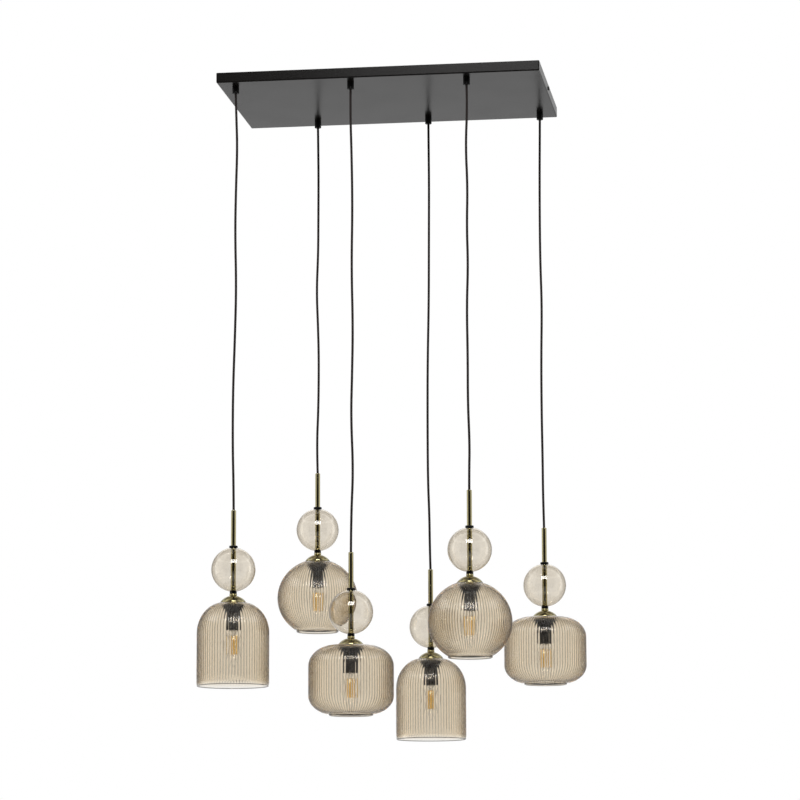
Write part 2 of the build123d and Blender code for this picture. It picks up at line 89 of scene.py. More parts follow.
# Cords: round flex in a black braided textile sleeve. Each comes straight down out of its grip and
# hangs, still a little wavy from its packing, into the top of its brass stem.
cord_diameter = 5.2 * mm
cord_entry = 2.0 * mm
grip_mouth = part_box("cord_grips")[0].z
cord_routes = {
    1: [(1.5, 0.5, 50), (4, 1, 120), (1.5, 0, 215), (0.5, -1.5, 310), (3.5, -1, 425), (1, 0.5, 530),
        (-3, 1.5, 650), (-3, 0.5, 770), (-0.5, -0.5, 850)],
    2: [(0.8, -0.5, 50), (1.6, -1, 120), (1, 0.5, 210), (0.5, 1.5, 290), (-3, 1, 375),
        (0.5, -0.5, 455), (2.6, -1, 530), (1.5, 0.5, 640), (-2.2, 0.8, 725)],
    3: [(-0.6, 0.5, 55), (1.8, 1, 135), (4, 0, 260), (1.8, -1.5, 390), (4.8, -1, 520),
        (2.8, 0.5, 620), (0, 1.5, 715), (5, 0.5, 830), (0.6, -0.5, 925)],
    4: [(0.4, -0.5, 60), (1, -1.2, 140), (-0.2, 0.3, 275), (-1.2, 1.5, 410), (-4.4, 1, 545),
        (-5, -0.5, 690), (-4.6, -1.2, 810), (-1.8, -0.4, 890), (-1.4, 0.5, 955)],
    5: [(1, 0.5, 50), (-3, 1, 135), (0.8, 0, 225), (-1.4, -1.2, 310), (0.8, -0.8, 395),
        (-2.8, 0.6, 485), (-1.4, 1.4, 590), (-1.8, 0.5, 690), (1.6, -0.5, 780), (0.2, -0.4, 835)],
    6: [(-0.6, -0.4, 50), (-1.6, -1, 115), (-2.6, 0.2, 230), (-2.4, 1.4, 330), (0.2, 0.8, 425),
        (-2.4, -0.6, 545), (-2.6, -1.4, 665), (-1.6, 0.2, 770), (-1.6, 0.8, 850)],
}
pendant_numbers = sorted(cord_routes)
braid_strands = 12.0
braid_pitch = 1.9 * mm
braid_depth = 0.12 * mm
braid_crossing_rise = 0.6
yarn_black = (0.0135, 0.0085, 0.0072, 1.0)
yarn_gap_shade = (0.0030, 0.0024, 0.0022, 1.0)


def smooth_line(points):
    """Points along the NURBS spline that the given points steer."""
    curve = bpy.data.curves.new("route", "CURVE")
    curve.dimensions = "3D"
    curve.resolution_u = 20
    spline = curve.splines.new("NURBS")
    spline.points.add(len(points) - 1)
    for control, point in zip(spline.points, points):
        control.co = (*point, 1.0)
    spline.order_u = 3
    spline.use_endpoint_u = True
    spline.resolution_u = 20
    holder = bpy.data.objects.new("route", curve)
    mesh = bpy.data.meshes.new_from_object(holder)
    line = np.array([vertex.co for vertex in mesh.vertices], float)
    bpy.data.meshes.remove(mesh)
    bpy.data.objects.remove(holder)
    bpy.data.curves.remove(curve)
    return line


def surface_of_rings(name, rings, closed=False, sharp_angle=35.0, flute=None):
    """Smooth mesh through rows of points, the rows running down the outside and up the inside.

    Each point keeps its turn round the piece (cosine, sine) and its distance along the rows."""
    rows, around, _ = rings.shape
    index = np.arange(rows * around).reshape(rows, around)
    below = np.roll(index, -1, axis=0)
    steps = rows if closed else rows - 1
    faces = np.stack(
        [index, below, np.roll(below, -1, axis=1), np.roll(index, -1, axis=1)], axis=-1
    )[:steps].reshape(-1, 4)
    mesh = bpy.data.meshes.new(name)
    mesh.from_pydata(rings.reshape(-1, 3).tolist(), [], faces.tolist())

    hops = np.linalg.norm(rings - np.roll(rings, 1, axis=0), axis=2).mean(axis=1)
    along = np.cumsum(hops) - hops[0]
    angle = 2 * math.pi * np.arange(around) / around
    turn = np.stack(
        [
            np.tile(np.cos(angle), rows),
            np.tile(np.sin(angle), rows),
            np.repeat(along, around),
        ],
        axis=-1,
    )
    mesh.attributes.new("turn", "FLOAT_VECTOR", "POINT").data.foreach_set("vector", turn.ravel())
    if flute is not None:
        mesh.attributes.new("flute", "FLOAT", "POINT").data.foreach_set("value", flute.ravel())

    reach = np.append(along, along[-1] + hops[0]) if closed else along
    row, column = np.divmod(np.arange(steps * around), around)
    high, low = reach[row] / reach[-1], reach[row + 1] / reach[-1]
    left, right = column / around, (column + 1) / around
    corners = np.stack([left, high, left, low, right, low, right, high], axis=-1)
    mesh.uv_layers.new(name="OFBake").data.foreach_set("uv", corners.ravel())

    if np.ptp(rings[0], axis=0).max() < 1e-9 or np.ptp(rings[-1], axis=0).max() < 1e-9:
        work = bmesh.new()
        work.from_mesh(mesh)
        bmesh.ops.remove_doubles(work, verts=work.verts, dist=1e-7)
        work.to_mesh(mesh)
        work.free()
    mesh.shade_smooth()
    mesh.set_sharp_from_angle(angle=math.radians(sharp_angle))
    return mesh


def tube_along(name, line, radius, around=20):
    """Closed round tube along a line of points that runs mostly up and down."""
    tangent = np.gradient(line, axis=0)
    tangent /= np.linalg.norm(tangent, axis=1)[:, None]
    side = np.array([1.0, 0.0, 0.0]) - tangent * tangent[:, :1]
    side /= np.linalg.norm(side, axis=1)[:, None]
    front = np.cross(side, tangent)
    angle = 2 * math.pi * np.arange(around) / around
    spokes = np.cos(angle)[None, :, None] * side[:, None] + np.sin(angle)[None, :, None] * front[:, None]
    wall = line[:, None] + radius * spokes
    ends = [np.repeat(point[None, None], around, axis=1) for point in (line[0], line[-1])]
    return surface_of_rings(name, np.concatenate([ends[0], wall, ends[1]]))


def shader_node(tree, kind, inputs=None, **settings):
    """New node with its settings, each input given as a value or as another node's output."""
    node = tree.nodes.new(kind)
    for name, value in settings.items():
        setattr(node, name, value)
    for socket, value in (inputs or {}).items():
        if isinstance(value, bpy.types.NodeSocket):
            tree.links.new(value, node.inputs[socket])
        else:
            node.inputs[socket].default_value = value
    return node


def math_node(tree, operation, *values):
    return shader_node(tree, "ShaderNodeMath", dict(enumerate(values)), operation=operation).outputs[0]


def blend_colours(tree, share, low, high):
    """Colour between low and high by a share that changes over the surface."""
    return shader_node(tree, "ShaderNodeMix", {0: share, 6: low, 7: high}, data_type="RGBA").outputs[2]


def between(tree, value, low, high, start=0.0, end=1.0):
    """From low to high as the value goes from start to end, and held beyond them."""
    limits = {"Value": value, "From Min": start, "From Max": end, "To Min": low, "To Max": high}
    return shader_node(tree, "ShaderNodeMapRange", limits).outputs[0]


def bump_normal(tree, height, depth, strength=1.0):
    sockets = {"Height": height, "Distance": depth, "Strength": strength}
    return shader_node(tree, "ShaderNodeBump", sockets).outputs["Normal"]


def new_finish(name):
    """Material with one Principled surface: the material, its node tree and the surface."""
    material = bpy.data.materials.new(name)
    material.use_nodes = True
    return material, material.node_tree, material.node_tree.nodes["Principled BSDF"]


def set_plain(surface, **values):
    """Plain values on the surface's own sockets, named with underscores for spaces."""
    for name, value in values.items():
        surface.inputs[name.replace("_", " ")].default_value = value


def effect_group(name, inputs, outputs):
    """Empty node group with named sockets: the group, its input node and its output node."""
    group = bpy.data.node_groups.new(name, "ShaderNodeTree")
    for socket, kind in inputs.items():
        group.interface.new_socket(socket, in_out="INPUT", socket_type="NodeSocket" + kind)
    for socket, kind in outputs.items():
        group.interface.new_socket(socket, in_out="OUTPUT", socket_type="NodeSocket" + kind)
    return group, group.nodes.new("NodeGroupInput"), group.nodes.new("NodeGroupOutput")


def braided_textile():
    """Black yarn braided over the flex: two sets of strands that cross over and under, with painted shade
    where they dip into the gaps.
    """
    material, tree, surface = new_finish("black_braided_textile")
    turn = shader_node(tree, "ShaderNodeAttribute", attribute_name="turn").outputs["Vector"]
    parts = shader_node(tree, "ShaderNodeSeparateXYZ", {0: turn}).outputs
    angle = math_node(tree, "ARCTAN2", parts[1], parts[0])
    across = math_node(tree, "MULTIPLY", angle, braid_strands / (2 * math.pi))
    climb = math_node(tree, "DIVIDE", parts[2], braid_pitch)
    profiles, cells = [], []
    for operation in ("ADD", "SUBTRACT"):
        strand = math_node(tree, operation, across, climb)
        cells.append(math_node(tree, "FLOOR", strand))
        wave = math_node(tree, "SINE", math_node(tree, "MULTIPLY", strand, math.pi))
        profiles.append(math_node(tree, "ABSOLUTE", wave))
    on_top = math_node(tree, "FLOORED_MODULO", math_node(tree, "ADD", *cells), 2.0)
    strand_height = between(tree, on_top, profiles[0], profiles[1])
    crossing = math_node(tree, "MULTIPLY", profiles[0], profiles[1])
    crossing_rise = math_node(tree, "MULTIPLY", crossing, braid_crossing_rise)
    height = math_node(tree, "ADD", strand_height, crossing_rise)
    # Painted shade: the yarn is darker down in the gaps between strands and lighter on their crowns.
    tree.links.new(blend_colours(tree, height, yarn_gap_shade, yarn_black), surface.inputs["Base Color"])
    tree.links.new(bump_normal(tree, height, braid_depth), surface.inputs["Normal"])
    set_plain(surface, Roughness=0.82, IOR=1.35, Sheen_Weight=0.12, Sheen_Roughness=0.4)
    return material


def add_piece(name, mesh, body, slot, *nodes, place=None):
    """Object on its body, in place of the CAD nodes that it stands for, which it hides. The slot is not used.
    """
    piece = bpy.data.objects.new(name, mesh)
    scene.collection.objects.link(piece)
    if place is not None:
        piece.location = place
    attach(piece, body)
    if nodes:
        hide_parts(*nodes)
    return piece


plumb_point = {}
textile = braided_textile()
for number in pendant_numbers:
    stem_low, stem_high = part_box(f"stem_{number}")
    middle = (stem_low + stem_high) / 2
    plumb_point[number] = Vector((middle.x, middle.y, stem_high.z))
    free_drop = grip_mouth - stem_high.z
    offsets = [(0, 0, -cord_entry), *(Vector(step) * mm for step in cord_routes[number]), (0, 0, free_drop)]
    route = [(middle.x + dx, middle.y + dy, grip_mouth - drop) for dx, dy, drop in offsets]
    line = smooth_line(route)
    cord_mesh = tube_along(f"textile_cord_{number}", line, cord_diameter / 2)
    cord_mesh.materials.append(textile)
    cord = add_piece(
        f"textile_cord_{number}", cord_mesh, f"flex_{number}", "black_textile_cord", f"cord_{number}"
    )
    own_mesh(cord)

# Canopy: one sheet-steel tray with folded walls and rounded folds, open towards the ceiling and
# powder-coated satin black. It hangs on the rail by one screw through each end wall.
coat_black = (0.0035, 0.0030, 0.0027, 1.0)
coat_worn = (0.0052, 0.0045, 0.0041, 1.0)
coat_roughness = (0.21, 0.29)
coat_grain = (0.7 * mm, 0.015 * mm, 0.5)
coat_cloud = 90 * mm
coat_index = 1.17


def surface_grain():
    """Fine grain and wide clouds, used wherever a finish is uneven."""
    group, given, found = effect_group(
        "surface_grain",
        {"Vector": "Vector", "Grain Size": "Float", "Cloud Size": "Float"},
        {"Grain": "Float", "Cloud": "Float"},
    )
    for size, output, detail in (("Grain Size", "Grain", 2.0), ("Cloud Size", "Cloud", 4.0)):
        scale = math_node(group, "DIVIDE", 1.0, given.outputs[size])
        sockets = {"Vector": given.outputs["Vector"], "Scale": scale, "Detail": detail}
        noise = shader_node(group, "ShaderNodeTexNoise", sockets)
        group.links.new(noise.outputs[0], found.inputs[output])
    return group


grain_group = surface_grain()


def grain_of(tree, grain_size, cloud_size):
    """Grain and cloud over the piece's own coordinates."""
    place = shader_node(tree, "ShaderNodeTexCoord").outputs["Object"]
    sockets = {"Vector": place, "Grain Size": grain_size, "Cloud Size": cloud_size}
    outputs = shader_node(tree, "ShaderNodeGroup", sockets, node_tree=grain_group).outputs
    return outputs["Grain"], outputs["Cloud"]


def uneven_finish(name, colours, roughness, grain, cloud_size, **plain):
    """Finish that drifts in colour and roughness, over a grain of (size, depth, strength)."""
    grain_size, grain_depth, grain_strength = grain
    material, tree, surface = new_finish(name)
    fine, cloud = grain_of(tree, grain_size, cloud_size)
    tree.links.new(blend_colours(tree, cloud, *colours), surface.inputs["Base Color"])
    tree.links.new(between(tree, cloud, *roughness), surface.inputs["Roughness"])
    tree.links.new(bump_normal(tree, fine, grain_depth, grain_strength), surface.inputs["Normal"])
    set_plain(surface, **plain)
    return material


def finish_node(node, material):
    """A CAD node keeps its shape and gets a finish."""
    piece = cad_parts[node]
    piece.data.materials.clear()
    piece.data.materials.append(material)
    return piece


powder_coat = uneven_finish(
    "satin_black_powder_coat", (coat_black, coat_worn), coat_roughness, coat_grain, coat_cloud, IOR=coat_index
)
finish_node("canopy", powder_coat)

# Mounting rail and lock nuts: zinc-plated steel. The rail lies against the ceiling with its ends
# bent down behind the canopy's end walls, and each nut holds a cord grip in the sheet.
zinc_light = (0.66, 0.67, 0.69, 1.0)
zinc_dull = (0.45, 0.46, 0.49, 1.0)
zinc_roughness = (0.42, 0.26)
zinc_grain = (0.5 * mm, 0.01 * mm, 0.4)
zinc_cloud = 9 * mm
zinc = uneven_finish(
    "zinc_plated_steel", (zinc_dull, zinc_light), zinc_roughness, zinc_grain, zinc_cloud, Metallic=1.0
)
finish_node("mounting_rail", zinc)
finish_node("grip_nuts", zinc)

# Terminal block: three poles in white moulded plastic under the rail, for the supply.
plastic_white = (0.80, 0.80, 0.77, 1.0)
plastic_yellowed = (0.70, 0.69, 0.63, 1.0)
plastic_roughness = (0.5, 0.4)
mould_grain = (0.35 * mm, 0.012 * mm, 0.5)
mould_cloud = 14 * mm


def moulded_plastic(name, low, high, roughness, **plain):
    """Moulded plastic with the fine matt grain of its mould."""
    return uneven_finish(name, (low, high), roughness, mould_grain, mould_cloud, **plain)


white_plastic = moulded_plastic("white_moulded_plastic", plastic_yellowed, plastic_white, plastic_roughness)
finish_node("terminal_block", white_plastic)

# Side screws: black slotted pan-head screws through the canopy's end walls into the rail's tabs.
screw_black = (0.012, 0.012, 0.012, 1.0)
screw_rubbed = (0.05, 0.048, 0.045, 1.0)
screw_roughness = (0.45, 0.3)
screw_grain = (0.3 * mm, 0.01 * mm, 0.4)
screw_cloud = 2.5 * mm
blackened_steel = uneven_finish(
    "blackened_steel", (screw_black, screw_rubbed), screw_roughness, screw_grain, screw_cloud, Metallic=0.6
)
finish_node("side_screws", blackened_steel)

# Cord grips: turned black nylon glands under the sheet. The round body has a drawn-in collar below
# and a rounded mouth for the cord, and its threaded nipple passes up through the canopy.
grip_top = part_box("cord_grips")[1].z
canopy_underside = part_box("canopy")[0].z
grip_radius = 7.3 * mm
grip_bore_radius = 3.05 * mm
grip_nipple_radius = 5.0 * mm
groove_top = grip_mouth + 5.2 * mm
groove_width = 1.1 * mm
groove_depth = 0.35 * mm
groove_bevel = 0.3 * mm
nylon_black = (0.0025, 0.0025, 0.0025, 1.0)
nylon_grey = (0.0045, 0.0045, 0.0045, 1.0)
nylon_roughness = (0.38, 0.48)
nylon_index = 1.25


def rounded(corners, steps=4):
    """Closed outline of (radius, height) from corners (radius, height, rounding)."""
    outline = []
    for place, (radius, height, rounding) in enumerate(corners):
        corner = np.array([radius, height], float)
        if not rounding:
            outline.append(corner)
            continue
        before = np.array(corners[place - 1][:2]) - corner
        after = np.array(corners[(place + 1) % len(corners)][:2]) - corner
        to_before, to_after = before / np.linalg.norm(before), after / np.linalg.norm(after)
        half_angle = math.acos(np.clip(to_before @ to_after, -1, 1)) / 2
        reach = rounding / math.tan(half_angle)
        middle = to_before + to_after
        centre = corner + middle / np.linalg.norm(middle) * rounding / math.sin(half_angle)
        first = corner + to_before * reach - centre
        last = corner + to_after * reach - centre
        sweep = math.pi - 2 * half_angle
        for step in range(steps + 1):
            share = step / steps
            weight_first = math.sin((1 - share) * sweep) / math.sin(sweep)
            weight_last = math.sin(share * sweep) / math.sin(sweep)
            outline.append(centre + weight_first * first + weight_last * last)
    return outline


def turned(name, outline, around=64, closed=True, sharp_angle=35.0):
    """Turned piece from an outline of (radius, height) that runs down outside and up inside."""
    radius, height = np.array(outline, float).T
    angle = 2 * math.pi * np.arange(around) / around
    rings = np.stack(
        [
            np.outer(radius, np.cos(angle)),
            np.outer(radius, np.sin(angle)),
            np.repeat(height[:, None], around, axis=1),
        ],
        axis=-1,
    )
    return surface_of_rings(name, rings, closed, sharp_angle)


def joined(name, parts):
    """One mesh from (mesh, place) pairs."""
    work = bmesh.new()
    for mesh, place in parts:
        before = len(work.verts)
        work.from_mesh(mesh)
        work.verts.ensure_lookup_table()
        bmesh.ops.translate(work, verts=work.verts[before:], vec=place)
    whole = bpy.data.meshes.new(name)
    work.to_mesh(whole)
    work.free()
    return whole


grip_outline = rounded([
    (grip_nipple_radius, grip_top, 0.5 * mm),
    (grip_nipple_radius, canopy_underside, 0),
    (grip_radius, canopy_underside, 0.3 * mm),
    (grip_radius, groove_top, 0.2 * mm),
    (grip_radius - groove_depth, groove_top - groove_bevel, 0.1 * mm),
    (grip_radius - groove_depth, groove_top - groove_width + groove_bevel, 0.1 * mm),
    (grip_radius, groove_top - groove_width, 0.2 * mm),
    (grip_radius, grip_mouth, 1.2 * mm),
    (grip_bore_radius, grip_mouth, 0.6 * mm),
    (grip_bore_radius, grip_top, 0.4 * mm),
])
grip_mesh = turned("cord_grip", grip_outline)
grip_places = [Vector((point.x, point.y, 0)) for point in plumb_point.values()]
grips_mesh = joined("turned_cord_grips", [(grip_mesh, place) for place in grip_places])
black_plastic = moulded_plastic(
    "black_moulded_plastic", nylon_black, nylon_grey, nylon_roughness, IOR=nylon_index
)
grips_mesh.materials.append(black_plastic)
grips_mesh.shade_smooth()
grips_mesh.set_sharp_from_angle(angle=math.radians(35))
add_piece("turned_cord_grips", grips_mesh, "root", "black_plastic", "cord_grips")

# Stems: drawn brass tube, polished and lacquered. Each has a turned-in lip where the cord goes in
# and runs on down through the glass ball and the cap into the lampholder.
stem_radius = 5.4 * mm
stem_wall = 1.2 * mm
stem_lip_radius = 2.8 * mm
stem_lip_length = 6.0 * mm
stem_length = plumb_point[1].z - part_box("stem_1")[0].z
brass_pale = (0.44, 0.40, 0.23, 1.0)
brass_deep = (0.36, 0.31, 0.15, 1.0)
brass_roughness = (0.05, 0.15)
brass_cloud = 22 * mm
brass_line_depth = 0.004 * mm
drawn_line_width = 0.05


def fine_lines():
    """Lines of drawing, spinning or polishing, across the given position."""
    group, given, found = effect_group(
        "fine_lines", {"Position": "Float", "Line Size": "Float"}, {"Lines": "Float"}
    )
    scaled = math_node(group, "DIVIDE", given.outputs["Position"], given.outputs["Line Size"])
    noise = shader_node(
        group, "ShaderNodeTexNoise", {"W": scaled, "Scale": 1.0, "Detail": 3.0}, noise_dimensions="1D"
    )
    group.links.new(noise.outputs[0], found.inputs["Lines"])
    return group


lines_group = fine_lines()


def polished_brass(name, lines_along, line_size):
    """Lacquered brass with faint lines along the tube or round the spun piece."""
    material, tree, surface = new_finish(name)
    turn = shader_node(tree, "ShaderNodeAttribute", attribute_name="turn").outputs["Vector"]
    parts = shader_node(tree, "ShaderNodeSeparateXYZ", {0: turn}).outputs
    position = math_node(tree, "ARCTAN2", parts[1], parts[0]) if lines_along else parts[2]
    sockets = {"Position": position, "Line Size": line_size}
    lines = shader_node(tree, "ShaderNodeGroup", sockets, node_tree=lines_group).outputs["Lines"]
    cloud = grain_of(tree, brass_cloud, brass_cloud)[1]
    tree.links.new(blend_colours(tree, cloud, brass_deep, brass_pale), surface.inputs["Base Color"])
    lines_and_cloud = math_node(tree, "ADD", lines, cloud)
    tree.links.new(between(tree, lines_and_cloud, *brass_roughness, end=2.0), surface.inputs["Roughness"])
    tree.links.new(bump_normal(tree, lines, brass_line_depth, 0.5), surface.inputs["Normal"])
    set_plain(surface, Metallic=1.0, Coat_Weight=0.25, Coat_Roughness=0.03)
    return material


def hang_on_pendants(name, mesh, slot, *kinds):
    """The same piece on each pendant, placed from the top of the pendant's stem."""
    for number in pendant_numbers:
        nodes = [f"{kind}_{number}" for kind in kinds]
        add_piece(f"{name}_{number}", mesh, f"pendant_{number}", slot, *nodes, place=plumb_point[number])


stem_outline = rounded([
    (stem_lip_radius, 0, 0.5 * mm),
    (stem_radius, 0, 0.8 * mm),
    (stem_radius, -stem_length, 0.2 * mm),
    (stem_radius - stem_wall, -stem_length, 0.2 * mm),
    (stem_radius - stem_wall, -stem_lip_length, 0.3 * mm),
    (stem_lip_radius, -stem_lip_length, 0.3 * mm),
])
stem_mesh = turned("brass_stem", stem_outline)
stem_mesh.materials.append(polished_brass("drawn_brass", True, drawn_line_width))
hang_on_pendants("brass_stem", stem_mesh, "polished_brass", "stem")

# Glass balls: blown smoke-amber glass, thin and smooth, with a ground hole above and below where
# the stem runs through. Slow waves in the wall bend what is seen through it.
ball_low, ball_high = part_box("glass_ball_1")
ball_radius = (ball_high.x - ball_low.x) / 2
ball_centre = (ball_low.z + ball_high.z) / 2 - plumb_point[1].z
ball_wall = 1.8 * mm
ball_hole_radius = 6.3 * mm
ball_index = 1.5
ball_waves = (26 * mm, 0.05 * mm)
ball_smoke = ((0.62, 0.50, 0.28, 1.0), 187.0)
glass_clear = (1.0, 1.0, 1.0, 1.0)
glass_grain_size = 1.5 * mm
glass_roughness = (0.0, 0.012)


def smoked_glass(name, index, waves, smoke):
    """Clear surfaces over a tint that deepens with the way through the wall."""
    wave_size, wave_depth = waves
    colour, density = smoke
    material, tree, surface = new_finish(name)
    grain, wave = grain_of(tree, glass_grain_size, wave_size)
    tree.links.new(between(tree, grain, *glass_roughness), surface.inputs["Roughness"])
    tree.links.new(bump_normal(tree, wave, wave_depth), surface.inputs["Normal"])
    set_plain(surface, Base_Color=glass_clear, Transmission_Weight=1.0, IOR=index)
    absorption = shader_node(tree, "ShaderNodeVolumeAbsorption", {"Color": colour, "Density": density})
    tree.links.new(absorption.outputs[0], tree.nodes["Material Output"].inputs["Volume"])
    return material, tree, surface


def sphere_points(radius, hole_radius, first_up, steps):
    """Points down (or up) a sphere's side between its two holes."""
    hole_angle = math.acos(hole_radius / radius)
    angles = np.linspace(hole_angle, -hole_angle, steps) * (1 if first_up else -1)
    return [(radius * math.cos(angle), ball_centre + radius * math.sin(angle)) for angle in angles]


ball_outline = sphere_points(ball_radius, ball_hole_radius, True, 65)
ball_outline += sphere_points(ball_radius - ball_wall, ball_hole_radius, False, 65)
ball_mesh = turned("smoked_ball", ball_outline, around=128, sharp_angle=60)
ball_mesh.materials.append(smoked_glass("smooth_smoke_amber_glass", ball_index, ball_waves, ball_smoke)[0])
hang_on_pendants("smoked_ball", ball_mesh, "ball_glass", "glass_ball")

# Ball washers: black rubber-like plastic, a flange outside the glass and a spigot in its hole, so
# that the ball sits centred and never touches the brass.
washers_low, washers_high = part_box("ball_washers_1")
upper_washer_top = washers_high.z - plumb_point[1].z
lower_washer_bottom = washers_low.z - plumb_point[1].z
upper_washer = (9.0 * mm, 4.2 * mm)
lower_washer = (7.5 * mm, 4.8 * mm)
washer_bore_radius = 5.5 * mm
spigot_radius = 6.2 * mm
spigot_length = 2.5 * mm


def washer_outline(radius, thickness):
    """Flange above z = 0 with its spigot below."""
    return rounded([
        (washer_bore_radius, thickness, 0.3 * mm),
        (radius, thickness, 1.1 * mm),
        (radius, 0, 0.7 * mm),
        (spigot_radius, 0, 0),
        (spigot_radius, -spigot_length, 0.2 * mm),
        (washer_bore_radius, -spigot_length, 0.2 * mm),
    ])


upper_washer_mesh = turned("upper_washer", washer_outline(*upper_washer))
lower_washer_mesh = turned("lower_washer", washer_outline(*lower_washer))
lower_washer_mesh.transform(Matrix.Rotation(math.pi, 4, "X"))
washers_mesh = joined("ball_washer_pair", [
    (upper_washer_mesh, Vector((0, 0, upper_washer_top - upper_washer[1]))),
    (lower_washer_mesh, Vector((0, 0, lower_washer_bottom + lower_washer[1]))),
])
washers_mesh.shade_smooth()
washers_mesh.set_sharp_from_angle(angle=math.radians(35))
washers_mesh.materials.append(black_plastic)
hang_on_pendants("ball_washer_pair", washers_mesh, "black_washer", "ball_washers")

# Caps: spun brass, a short waisted neck over a rounded dome that covers the shade's hole, polished
# to a mirror and lacquered. The rim is turned under where it presses on the glass.
cap_low, cap_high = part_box("cap_1")
shade_top = cap_low.z - plumb_point[1].z
neck_top = cap_high.z - plumb_point[1].z
cap_radius = (cap_high.x - cap_low.x) / 2
cap_neck_top_radius = 7.5 * mm
cap_neck_bulge = 0.95 * mm
cap_waist_radius = 6.8 * mm
cap_dome_height = 14.0 * mm
cap_dome_bulge = 2.72 * mm
cap_rim_height = 1.2 * mm
cap_sheet = 1.2 * mm
cap_bore_radius = stem_radius + 0.1 * mm
cap_rim_bevel = 0.3 * mm
spun_line_width = 0.25 * mm


def bulging_line(start, end, bulge, steps):
    """Points of the arc from start to end that stands out from their chord by the bulge."""
    start, end = np.array(start, float), np.array(end, float)
    chord = end - start
    outward = np.array([-chord[1], chord[0]]) / np.linalg.norm(chord)
    half = np.linalg.norm(chord) / 2
    radius = (half**2 + bulge**2) / (2 * bulge)
    centre = (start + end) / 2 - outward * (radius - bulge)
    half_sweep = math.asin(half / radius)
    angles = np.linspace(-half_sweep, half_sweep, steps)
    along = chord / (2 * half)
    return [tuple(centre + radius * (math.sin(a) * along + math.cos(a) * outward)) for a in angles]


def cap_side(inset):
    """Outside or inside of the cap's dome from the waist down to the rim."""
    waist = (cap_waist_radius, shade_top + cap_dome_height - inset)
    rim = (cap_radius - inset, shade_top + cap_rim_height)
    return bulging_line(waist, rim, cap_dome_bulge, 18)


neck_edge = rounded([
    (cap_bore_radius, neck_top, 0.2 * mm),
    (cap_neck_top_radius, neck_top, 0.3 * mm),
    (cap_waist_radius, shade_top + cap_dome_height, 0),
])[:-1]
neck_side = bulging_line(
    (cap_neck_top_radius, neck_top - 0.35 * mm), (cap_waist_radius, shade_top + cap_dome_height),
    cap_neck_bulge, 9,
)
cap_outline = [*neck_edge, *neck_side[1:], *cap_side(0.0)[1:]]
cap_outline += [(cap_radius, shade_top + cap_rim_bevel), (cap_radius - cap_rim_bevel, shade_top)]
cap_outline += [(cap_radius - cap_sheet, shade_top), *reversed(cap_side(cap_sheet))]
cap_outline += [(cap_waist_radius, neck_top - cap_sheet), (cap_bore_radius, neck_top - cap_sheet)]
cap_mesh = turned("brass_cap", cap_outline, around=96)
cap_mesh.materials.append(polished_brass("spun_brass", False, spun_line_width))
hang_on_pendants("brass_cap", cap_mesh, "polished_brass", "cap")

# Shades: mould-blown smoke-amber glass, smooth inside and fluted outside, with painted shade in
# the valleys and on the rim's lowest edge. The flutes run from under the cap to the rim, where the
# glass is plain.
shade_wall = 3.0 * mm
land_radius = 27.0 * mm
land_rounding = 1.5 * mm
shade_hole_radius = 15.0 * mm
shade_hole_bevel = 0.4 * mm
flute_depth = 0.6 * mm
flute_sharpness = 1.25
points_per_flute = 6
flute_fade_width = 6.0 * mm
collar_radius = 46.5 * mm
collar_ledge = 1.5 * mm
rim_rounding = 1.3 * mm
bell_rim_inset = 0.3 * mm
rim_edge_height = 2.0 * mm
rim_edge_painted_shade = 0.85
shade_index = 1.25
shade_waves = (30 * mm, 0.06 * mm)
shade_smoke = ((0.72, 0.53, 0.18, 1.0), 108.0)
valley_painted_shade = (0.07, 0.058, 0.042, 1.0)
valley_width = 0.62
glint_depth = 1.2 * mm
bell = {"flutes": 76, "flat": 19.0 * mm, "upper": 66.0 * mm, "rim": 3.0 * mm}
ball_like = {"flutes": 90, "flat": 0.0, "upper": 86.0 * mm, "lower": 84.0 * mm, "collar": 5.0 * mm}
drum = {"flutes": 90, "flat": 36.0 * mm, "upper": 44.0 * mm, "lower": 40.0 * mm, "collar": 3.2 * mm}


def shoulder(flat, reach, rise, centre, first, last, steps):
    """Points of an elliptical shoulder between two angles."""
    angles = np.linspace(first, last, steps)
    return [(flat + reach * math.cos(angle), centre + rise * math.sin(angle)) for angle in angles]


